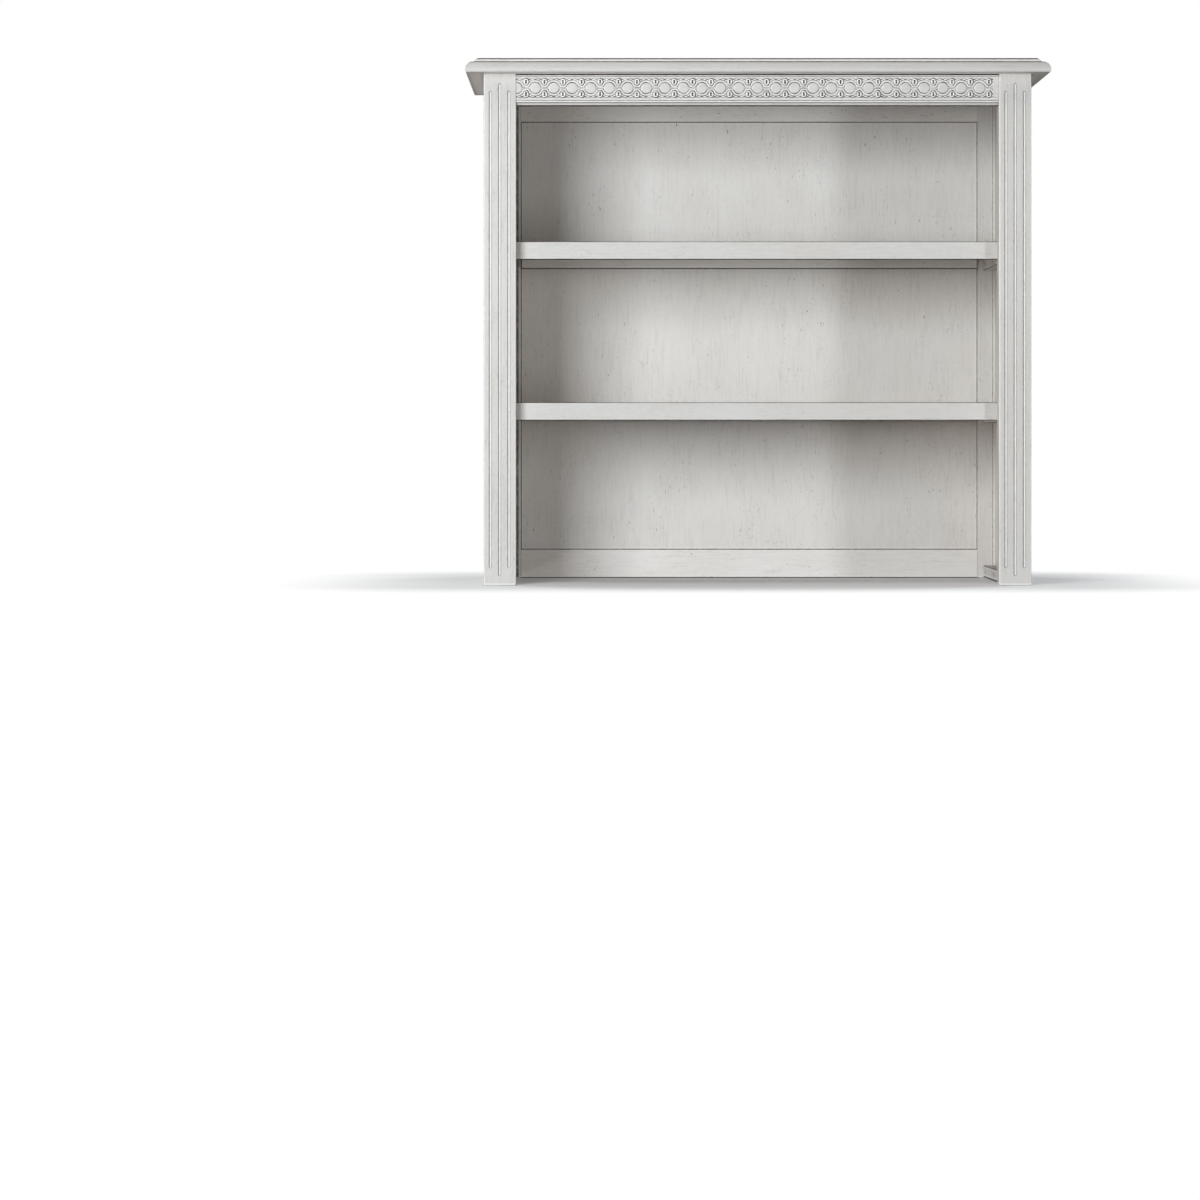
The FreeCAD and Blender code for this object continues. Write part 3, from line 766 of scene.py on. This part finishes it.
def fluted_post(low, high, shape):
    """The post's section carried up its height, with its glaze, painted shade on the flutes' left rims and
    rubbed paint at each point.

    A front point lies behind the face by the square root of r^2 - d^2, where r is the flute's radius and d the
    distance to the line along the flute's middle, whose ends lie one radius inside the flute's ends.
    """
    radius = shape.flute_width / 2
    middle = (low.x + high.x) / 2
    flutes = [(middle - shape.flute_pitch, shape.side_flute_end), (middle, shape.middle_flute_end),
              (middle + shape.flute_pitch, shape.side_flute_end)]
    rim = RIM_SHARES * radius
    swing = np.sin(np.linspace(-math.pi / 2, math.pi / 2, 2 * ARC_STEPS + 1)) * radius
    swing = np.concatenate([-rim[::-1], swing, rim])
    section, on_face = post_section(low, high, shape.post_ease, [centre + swing for centre, _ in flutes])
    levels = [np.array([low.z, high.z])]
    for end in (shape.side_flute_end, shape.middle_flute_end):
        levels.append(low.z + end + radius + swing)
        levels.append(high.z - end - radius + swing)
    levels = np.unique(np.concatenate(levels))
    x, z = np.meshgrid(section[:, 0], levels)
    y = np.broadcast_to(section[:, 1], x.shape)
    away = np.full(x.shape, shape.flute_pitch)
    for centre, end in flutes:
        beyond = np.maximum(z - (high.z - end - radius), (low.z + end + radius) - z)
        away = np.minimum(away, np.hypot(x - centre, np.maximum(beyond, 0)))
    away = np.where(on_face[None, :], away, shape.flute_pitch)
    depth = np.sqrt(np.maximum(radius ** 2 - away ** 2, 0))
    shell = np.stack([x, y + depth, z], -1)
    nearest = np.argmin([np.abs(x - centre) for centre, _ in flutes], axis=0)
    side = (x - np.array([centre for centre, _ in flutes])[nearest]) / radius
    # More glaze on each flute's left rim than its right: painted shade on the wall turned from the key light
    rim_glaze_and_shade = LEFT_RIM_SHADE - (LEFT_RIM_SHADE - RIGHT_RIM) * ramp(side, -1, 1)
    hollow_and_shade = rim_glaze_and_shade * line_at(away, radius, shape.line_width)
    return shell, {"hollow_and_shade": hollow_and_shade, "rubbed_and_lit": line_at(away, 0, radius * HALF)}


class HUTCH_OT_posts(bpy.types.Operator):
    """Left and right posts, each with three flutes with ball ends"""
    bl_idname = "hutch.posts"
    bl_label = "Fluted Posts"

    def execute(self, context):
        shape = context.scene.hutch_shape
        for count, node in enumerate(("post_left", "post_right")):
            low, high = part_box(node)
            shell, marks = fluted_post(low, high, shape)
            points, faces = gather([shell], [shell[0, :-1], shell[-1, :-1]])
            material = whitewash(node, Z, "post", count, (low, high), STANDING)
            piece = add_piece("fluted_" + node, points, faces, material, marks)
            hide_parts(node)
        return {"FINISHED"}


# Frieze


def ridge(distance, half_width):
    """A rounded ridge: the root of 1 minus the square of the distance over the half width, 0 beyond."""
    return np.sqrt(np.clip(1 - (distance / half_width) ** 2, 0, 1))


def smooth_least(first, second, blend):
    """The smaller of two values, rounded where they are within the blend of each other."""
    near = np.clip(HALF + (second - first) / (2 * blend), 0, 1)
    return second + (first - second) * near - blend * near * (1 - near)


def pattern(x, z, shape):
    """Where points lie in the carving, for X along the frieze and Z from the middle of its field.

    across, side, rise and out count from the nearest medallion's middle, wave from the ridge round medallions
    and along bridges. eye_x is 0 in an eyelet's middle and 1 at its tips. eyelet, a hexagon, and leaf, an oval,
    are 1 on their outlines.
    """
    pitch = shape.medallion_pitch
    at = SimpleNamespace(across=np.mod(x + pitch / 2, pitch) - pitch / 2, rise=np.abs(z))
    at.side = np.abs(at.across)
    at.out = np.hypot(at.across, z)
    at.wave = smooth_least(at.out - shape.ring_radius, at.rise - shape.bridge_rise, shape.ridge_half)
    at.eye_x = (pitch / 2 - at.side) / shape.eyelet_half
    eye_z = (at.rise - shape.eyelet_rise) / (EYELET_STRETCH * shape.eyelet_half)
    at.eyelet = np.maximum(np.abs(eye_z), np.abs(at.eye_x) + EYELET_SLANT * np.abs(eye_z))
    leaf_z = (at.rise - shape.leaf_rise) / LEAF_HALF_WIDTH
    at.leaf = np.hypot((at.side - LEAF_MIDDLE) / LEAF_HALF_LENGTH, leaf_z)
    return at


def carved_lines(at, shape):
    """Strength of the cut lines: circles of medallions, darker at top and bottom as painted shade, two lines
    along the ridge, hexagons, darker on one side as painted shade, leaves, dots.
    """
    width = shape.line_width
    ring = GLAZE.ring + GLAZE.arch_shade * at.rise / np.maximum(at.out, width)
    shaded = GLAZE.eyelet + GLAZE.eyelet_shade * (at.across < 0)
    above = at.rise - shape.leaf_rise
    return np.maximum.reduce([
        ring * line_at(at.out, shape.medallion_radius, width),
        GLAZE.wave * line_at(np.abs(at.wave), shape.ridge_half, width),
        shaded * line_at((at.eyelet - 1) * shape.eyelet_half, 0, width),
        GLAZE.leaf * line_at((at.leaf - 1) * LEAF_HALF_WIDTH, 0, width),
        GLAZE.mark * line_at(np.hypot(at.side, above), 0, MARK_RADIUS),
        GLAZE.mark * line_at(np.hypot(at.side - LEAF_TIP, above), 0, MARK_RADIUS),
    ])


def eyelet_slots(at, shape):
    """1 in the upright slot of each eyelet, which has a narrower waist."""
    half = shape.line_width / 2
    waist = SLOT_HALF_WIDTH * (1 - SLOT_WAIST * line_at(at.rise, shape.eyelet_rise, SLOT_HALF_WIDTH))
    slot = ramp(waist - np.abs(at.eye_x) * shape.eyelet_half, -half, half)
    return slot * ramp(SLOT_HALF_HEIGHT - np.abs(at.rise - shape.eyelet_rise), -half, half)


def carved_pales(at, slot, shape):
    """Rubbed paint on rims, ridges, bridges and the field, with painted highlights on the ridges' right-hand
    crests and on the left flank of each disc.
    """
    half = shape.ridge_half / 2
    slope = at.across / np.maximum(at.out, shape.line_width)
    crest = PALE.crest + PALE.lit_crest * np.clip(slope, 0, 1)
    flank = PALE.lit_flank * np.clip(-slope, 0, 1) ** 2
    return np.maximum.reduce([
        PALE.rim * line_at(at.eyelet, RIM_PLACE, RIM_PLACE / 2) * (1 - slot),
        PALE.bridge * line_at(at.rise, 0, half) * (at.side > shape.ring_radius),
        crest * line_at(at.wave, 0, half),
        flank * line_at(at.out, LIT_FLANK_PLACE, LIT_FLANK_HALF),
        PALE.field * (at.out > shape.medallion_radius),
    ])


def carved_field(x, z, shape, right_end):
    """Depth, glaze with painted shade, and rubbed paint with painted highlights of the carving, which is plain
    to the right of an X.

    Everything is cut by lines into one raised face, in which discs, ridges and eyelets bulge.
    """
    at = pattern(x, z, shape)
    cut = carved_lines(at, shape)
    slot = eyelet_slots(at, shape)
    bulge = np.maximum.reduce([ridge(at.out, shape.medallion_radius), ridge(at.wave, shape.ridge_half),
                               ridge(at.eyelet, 1.0) * HALF])
    depth = cut * shape.line_depth + slot * shape.line_depth - bulge * BULGE
    accent = 1 + ACCENT * np.sin(x * ACCENT_PACE) * np.sin(z * ACCENT_PACE + x * WAVER_PACE)
    glaze = np.maximum(cut * accent, GLAZE.slot * slot)
    plain = ramp(x, right_end, right_end + shape.line_width)
    return [values * (1 - plain) for values in (depth, glaze, carved_pales(at, slot, shape))]


def carved_border(from_top, from_foot, shape):
    """Depth, glaze and rubbed paint of the border: strip, line and bead above, two beads and a line below. The
    gap above the strip is painted black as shadow, and the strip is painted at its palest, painted light against
    the crown's shadow beside its wear.
    """
    width = shape.line_width
    strip = ramp(from_top, STRIP_FOOT, STRIP_FOOT + width / 2)
    # Black painted shadow in the gap under the crown
    gap = 1 - ramp(from_top, GAP_FOOT, GAP_FOOT + width)
    places = ((from_top, TOP_BEAD), (from_foot, LOW_BEAD), (from_foot, FOOT_BEAD))
    beads = np.maximum.reduce([ridge(away - middle, half) for away, (middle, half) in places])
    lines = np.maximum.reduce([
        GLAZE.gap * gap,
        line_at(from_top, TOP_LINE, width),
        GLAZE.foot * line_at(from_foot, FOOT_LINE, width),
        line_at(from_top, TOP_EDGE, width),
        line_at(from_foot, LOW_EDGE, width),
    ])
    # The top strip is painted at its palest: painted light against the crown's shadow
    rubbed_and_lit = np.maximum.reduce([1 - strip] + [line_at(away, *bead) for away, bead in places])
    raised = shape.relief - shape.ground_depth
    depth = shape.line_depth * (1 - beads) * strip + raised * (1 - strip)
    return depth, lines, rubbed_and_lit


def frieze_grid(low, high, shape):
    """X and Z of the frieze's points: even columns per medallion, and rows that also follow the top strip."""
    step = shape.medallion_pitch / FRIEZE_COLUMNS
    columns = np.arange(math.floor(low.x / step) + 1, math.ceil(high.x / step)) * step
    columns = np.concatenate([[low.x], columns, [high.x]])
    width = shape.line_width
    steps = np.array([STRIP_FOOT, STRIP_FOOT + width * HALF, GAP_FOOT, GAP_FOOT + width])
    rows = np.sort(np.concatenate([np.linspace(low.z, high.z, FRIEZE_ROWS), high.z - steps]))
    return np.meshgrid(columns, rows)


def frieze_face(low, high, shape):
    """The carved front of the moulding as a grid of points, with its glaze and painted shade, and its rubbed
    paint and painted light.
    """
    x, z = frieze_grid(low, high, shape)
    pitch = shape.medallion_pitch
    middle = (low.z + LOW_EDGE + high.z - TOP_EDGE) / 2
    last_eyelet = (math.floor(high.x / pitch) - HALF) * pitch
    waver = WAVER * sum(np.sin(x * pace) for pace in WAVER_PACES)
    field = carved_field(x + waver, z - middle + waver, shape, last_eyelet + pitch * CARVING_END)
    from_top = high.z - z
    from_foot = z - low.z
    border = carved_border(from_top, from_foot, shape)
    beyond = (from_top < TOP_EDGE) | (from_foot < LOW_EDGE)
    depth, hollow_and_shade, rubbed_and_lit = [np.where(beyond, outer, inner) for outer, inner in zip(border, field)]
    ends = np.minimum(x - low.x, high.x - x)
    hollow_and_shade = np.maximum(hollow_and_shade, line_at(ends, 0, shape.line_width))
    face = low.y + shape.ground_depth - shape.relief
    return np.stack([x, face + depth, z], -1), {"hollow_and_shade": hollow_and_shade, "rubbed_and_lit": rubbed_and_lit}


def add_moulding(shape):
    """The carved moulding: its face, four edges and a flat rear."""
    low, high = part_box("frieze_moulding")
    shell, marks = frieze_face(low, high, shape)
    behind = shell.copy()
    behind[:, :, 1] = high.y
    both = np.stack([shell, behind])
    strips = [both[:, 0], both[:, -1], both[:, :, 0], both[:, :, -1]]
    around = np.concatenate([behind[0], behind[1:, -1], behind[-1, -2::-1], behind[-2:0:-1, 0]])
    points, faces = gather([shell] + strips, [around])
    material = whitewash("frieze", X, "moulding")
    piece = add_piece("carved_frieze", points, faces, material, marks)
    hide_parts("frieze_moulding")


class HUTCH_OT_frieze(bpy.types.Operator):
    """Frieze rail and the carved moulding glued on its face"""
    bl_idname = "hutch.frieze"
    bl_label = "Carved Frieze"

    def execute(self, context):
        add_moulding(context.scene.hutch_shape)
        foot, head = (corner.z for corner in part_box("frieze_rail"))
        # Painted shadows on the rail: black in the gap under the crown, and under the moulding
        joints = [(Z, foot, *RAIL_FOOT_LINE), (Z, head, *RAIL_HEAD_SHADOW),
                  (Z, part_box("frieze_moulding")[0].z, *MOULDING_SHADOW)]
        softened("frieze_rail", whitewash("frieze_rail", X, "frieze_rail", joints=joints))
        return {"FINISHED"}


# Boards


class HUTCH_OT_sides(bpy.types.Operator):
    """Solid side panels behind the posts"""
    bl_idname = "hutch.sides"
    bl_label = "Side Panels"

    def execute(self, context):
        for side in ("left", "right"):
            node = "side_panel_" + side
            softened(node, whitewash(node, Z, "side_" + side, 0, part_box(node), STANDING))
        return {"FINISHED"}


class HUTCH_OT_back(bpy.types.Operator):
    """Framed back: two stiles, two rails and the thin panel in their grooves"""
    bl_idname = "hutch.back"
    bl_label = "Framed Back"

    def execute(self, context):
        inner, outer = (corner.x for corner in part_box("back_stile_right"))
        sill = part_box("back_bottom_rail")[1].z
        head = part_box("back_top_rail")[0].z
        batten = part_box("upper_shelf_back_batten")[0].z
        # The left stile gets painted shade in its deep corner
        left = [(X, -inner, *FRAME_LINE), (X, CORNER_PLACE - outer, *CORNER_PAINTED_SHADE), *STANDING]
        right = [(X, inner, *FAINT_LINE), (X, outer - CORNER_GAP, *FRAME_LINE),
                 (X, outer, *CORNER_PALE), *STANDING]
        top = [(Z, head, *FRAME_LINE)]
        bottom = [(Z, sill, *FRAME_LINE), *STANDING]
        # The panel gets a painted shadow under the batten
        panel = [(X, -inner, *PANEL_LINE), (X, inner, *PANEL_RIGHT_LINE), (Z, sill, *PANEL_LINE),
                 (Z, head, *PANEL_LINE), (Z, batten, *PANEL_BATTEN_SHADOW)]
        pieces = (("back_stile_left", "stile", 0, Z, left), ("back_stile_right", "stile", 1, Z, right),
                  ("back_top_rail", "rail", 0, X, top), ("back_bottom_rail", "rail", 1, X, bottom),
                  ("back_panel", "panel", 0, Z, panel))
        for node, kind, count, grain, joints in pieces:
            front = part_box(node)[0].y + MM
            softened(node, whitewash(node, grain, kind, count, None, joints, front))
        return {"FINISHED"}


class HUTCH_OT_shelves(bpy.types.Operator):
    """Fixed shelves: boards, deep front lips and back battens"""
    bl_idname = "hutch.shelves"
    bl_label = "Shelves"

    def execute(self, context):
        # The lips and battens get painted shadow and shade along their lower edge
        lines = {"board": (), "front_lip": LIP_SHADOW, "back_batten": BATTEN_SHADOW}
        for count, (shelf, part) in enumerate(product(("upper_shelf", "lower_shelf"), lines)):
            node = shelf + "_" + part
            low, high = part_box(node)
            joints = [(Z, low.z, *lines[part])] if lines[part] else []
            softened(node, whitewash(node, X, part, count, (low, high), joints))
        return {"FINISHED"}


class HUTCH_OT_cleats(bpy.types.Operator):
    """Screwed cleats under the shelves, under the crown and at the foot"""
    bl_idname = "hutch.cleats"
    bl_label = "Cleats"

    def execute(self, context):
        levels = ("foot", "lower_shelf", "upper_shelf", "crown")
        for count, (level, side) in enumerate(product(levels, ("left", "right"))):
            node = level + "_cleat_" + side
            low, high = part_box(node)
            # Painted shade on each cleat's top
            joints = [(Z, high.z, *CLEAT_TOP_SHADE)]
            # The foot cleats also get a painted contact shadow
            if level == "foot":
                joints.extend(CLEAT_FOOT_SHADOW)
            softened(node, whitewash(node, Y, "cleat", count, (low, high), joints))
        return {"FINISHED"}


class HUTCH_OT_fasteners(bpy.types.Operator):
    """Screws and dowels"""
    bl_idname = "hutch.fasteners"
    bl_label = "Screws and Dowels"

    def execute(self, context):
        finish = context.scene.hutch_finish
        for node in ("cleat_side_screws", "cleat_rising_screws"):
            finish_node(node, bare_surface("dull_steel", finish.steel, STEEL))
        for node in ("back_frame_dowels", "post_dowels"):
            finish_node(node, bare_surface("bare_beech", finish.dowel, BEECH))
        return {"FINISHED"}


def finish_node(node, material):
    """Gives a material to a piece of the frame that keeps its shape."""
    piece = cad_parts[node]
    piece.data.materials.clear()
    piece.data.materials.append(material)


# Stage


def lamp_place(azimuth, elevation, distance):
    """A point at a distance from the aim. Azimuth 0 is straight in front and grows towards the right."""
    flat = distance * math.cos(elevation)
    return Vector((AIM[0] + flat * math.sin(azimuth), AIM[1] - flat * math.cos(azimuth),
                      AIM[2] + distance * math.sin(elevation)))


def hang_lights(stage):
    """Soft area lights, all turned to one point, that the camera doesn't see."""
    colours = {"cool": stage.lamp_colour, "warm": WARM_LAMP, "white": WHITE}
    for name, part, azimuth, elevation, distance, width, height, tint, shines in LIGHTS:
        data = bpy.data.lights.new(name, "AREA")
        data.shape = "RECTANGLE"
        data.size = width
        data.size_y = height
        data.energy = getattr(stage, name.split("_")[0] + "_power") * part
        data.color = colours[tint]
        light = add_object(name, data)
        light.location = lamp_place(math.radians(azimuth), math.radians(elevation), distance)
        direction = Vector(AIM) - light.location
        light.rotation_euler = direction.to_track_quat("-Z", "Y").to_euler()
        light.visible_camera = False
        light.visible_glossy = shines


def studio_world(stage):
    """A world that is plain white to the camera and gives everything else a weak even light."""
    s = Shading(bpy.data.worlds.new("studio"))
    even = s.node("Background", {"Color": rgba(stage.ambient_colour), "Strength": stage.ambient})
    white = s.node("Background", {"Color": rgba(WHITE)})
    seen = s.node("LightPath", {})["Is Camera Ray"]
    both = s.node("MixShader", {0: seen, 1: even[0], 2: white[0]})
    s.node("OutputWorld", {0: both[0]})
    return s.owner


def contact(s, side, y, near, far, front, reach):
    """1 on the floor at a face at Y = front, fading to 0 at the reach, for sides between near and far: a painted
    contact shadow.
    """
    half = (far - near) / 2
    across = s.math("ABSOLUTE", s.math("SUBTRACT", side, (near + far) / 2))
    return s.times(s.step(y, front - reach, front - reach * FULL_SHADE),
                   s.step(y, front + 2 * FLOOR_SOFT, front + FLOOR_SOFT),
                   s.step(across, half + FLOOR_SOFT, half - FLOOR_SOFT))


def pale_floor(stage):
    """Floor that is lit near the case and glows white further out, with painted contact shadows at the case's
    foot.
    """
    s = Shading(bpy.data.materials.new("pale_floor"))
    place = s.place()
    low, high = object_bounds()
    half = [max(-low.x, high.x), max(-low.y, high.y), 0.0]
    outside = s.vector("MAXIMUM", s.vector("SUBTRACT", s.vector("ABSOLUTE", place), half), (0.0, 0.0, 0.0))
    away = s.node("VectorMath", {0: outside}, operation="LENGTH")["Value"]
    x, y, _ = s.axes(place)
    side = s.math("ABSOLUTE", x)
    post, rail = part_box("post_right"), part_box("back_bottom_rail")
    shade = s.math("MAXIMUM", contact(s, side, y, -post[0].x, post[0].x, rail[0].y, RAIL_SHADE),
                   contact(s, side, y, post[0].x, post[1].x, post[0].y, POST_SHADE))
    lit = s.mix(s.step(away, 0.0, FLOOR_FADE), rgba(stage.floor), rgba(BLACK))
    glow = s.step(away, 0.0, FLOOR_FADE, stage.floor_glow, FLOOR_WHITE)
    glow = s.times(glow, s.math("SUBTRACT", 1.0, shade))
    return s.finish({"Base Color": s.mix(shade, lit, rgba(BLACK)), "Roughness": FLOOR_ROUGHNESS,
                     "Specular IOR Level": 0.0, "Emission Color": rgba(WHITE), "Emission Strength": glow})


def lay_floor(stage):
    """A round flat floor under the case that neither lights nor shades it."""
    rim = [(x, y, -FLOOR_DROP) for x, y in arc(0, 0, FLOOR_RADIUS, 0, math.tau, FLOOR_SIDES)[:-1]]
    mesh = bpy.data.meshes.new("floor")
    mesh.from_pydata(rim, [], [list(range(len(rim)))])
    mesh.materials.append(pale_floor(stage))
    floor = add_object("floor", mesh)
    floor.visible_diffuse = False
    floor.visible_glossy = False
    floor.visible_shadow = False
    floor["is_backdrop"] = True


class HUTCH_OT_stage(bpy.types.Operator):
    """Camera, pale floor and soft studio lights"""
    bl_idname = "hutch.stage"
    bl_label = "Stage"

    def execute(self, context):
        stage = context.scene.hutch_stage
        data = bpy.data.cameras.new("front_camera")
        data.lens = stage.lens
        data.shift_x = stage.shift_x
        data.shift_y = stage.shift_y
        camera = add_object("front_camera", data)
        camera.location = stage.camera
        camera.rotation_euler = (math.pi / 2, 0, 0)
        context.scene.camera = camera
        context.scene.view_settings.view_transform = "Standard"
        lay_floor(stage)
        hang_lights(stage)
        context.scene.world = studio_world(stage)
        return {"FINISHED"}


class HUTCH_PT_panel(bpy.types.Panel):
    """Lists the pieces of the bookcase and what may be changed"""
    bl_idname = "HUTCH_PT_panel"
    bl_label = "Hutch Bookcase"
    bl_space_type = "VIEW_3D"
    bl_region_type = "UI"
    bl_category = "Hutch Bookcase"

    def draw(self, context):
        for operator in OPERATORS:
            self.layout.operator(operator.bl_idname)
        for group in (context.scene.hutch_shape, context.scene.hutch_finish, context.scene.hutch_stage):
            box = self.layout.box()
            for name in group.__annotations__:
                box.prop(group, name)


GROUPS = {"hutch_shape": HutchShape, "hutch_finish": HutchFinish, "hutch_stage": HutchStage}
OPERATORS = (HUTCH_OT_stage, HUTCH_OT_crown, HUTCH_OT_posts, HUTCH_OT_frieze, HUTCH_OT_sides, HUTCH_OT_back,
             HUTCH_OT_shelves, HUTCH_OT_cleats, HUTCH_OT_fasteners)


def register():
    for group in GROUPS.values():
        bpy.utils.register_class(group)
    for name, group in GROUPS.items():
        setattr(bpy.types.Scene, name, bpy.props.PointerProperty(type=group))
    for cls in OPERATORS + (HUTCH_PT_panel,):
        bpy.utils.register_class(cls)


def unregister():
    for cls in (HUTCH_PT_panel,) + OPERATORS[::-1]:
        bpy.utils.unregister_class(cls)
    for name, group in GROUPS.items():
        delattr(bpy.types.Scene, name)
        bpy.utils.unregister_class(group)


def main():
    register()
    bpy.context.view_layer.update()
    bpy.ops.hutch.stage()
    bpy.ops.hutch.crown()
    bpy.ops.hutch.posts()
    bpy.ops.hutch.frieze()
    bpy.ops.hutch.sides()
    bpy.ops.hutch.back()
    bpy.ops.hutch.shelves()
    bpy.ops.hutch.cleats()
    bpy.ops.hutch.fasteners()


if __name__ == "__main__":
    main()
